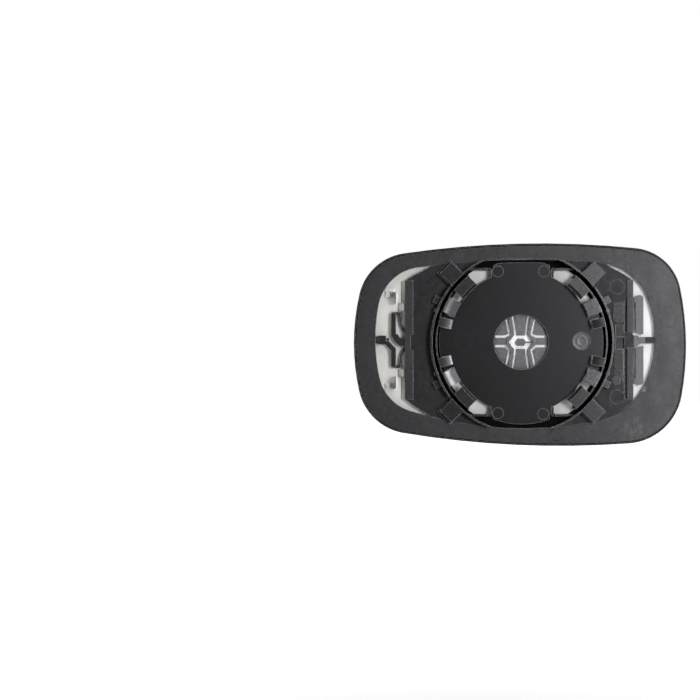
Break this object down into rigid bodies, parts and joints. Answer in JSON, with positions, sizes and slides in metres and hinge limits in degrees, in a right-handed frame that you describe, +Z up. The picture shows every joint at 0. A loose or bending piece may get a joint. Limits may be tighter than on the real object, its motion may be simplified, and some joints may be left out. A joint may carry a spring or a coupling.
{
  "type": "door mirror glass",
  "caption": "Heated door mirror glass: convex glass with a heating pad on a black moulded carrier with a snap-in clip ring",
  "frame": {"origin": "centre of the clip ring, on the face that the adjuster's plate seats on", "axes": "Z up as fitted on the car, the glass faces -Y, the clip ring opens towards +Y, X across the mirror"},
  "size_m": [0.1704, 0.0123, 0.1041],
  "materials": {
    "mirror": "polished silvered glass",
    "foil": "pale satin film",
    "black_plastic": "fine satin moulded",
    "tinned_metal": "tinned strip",
    "rivet_metal": "plated"
  },
  "bodies": {
    "root": {"mirror_glass": "mirror", "heater_pad": "foil", "backing_plate": "black_plastic", "terminal_upper": "tinned_metal", "terminal_lower": "tinned_metal", "rivet_upper": "rivet_metal", "rivet_lower": "rivet_metal"}
  },
  "joints": []
}
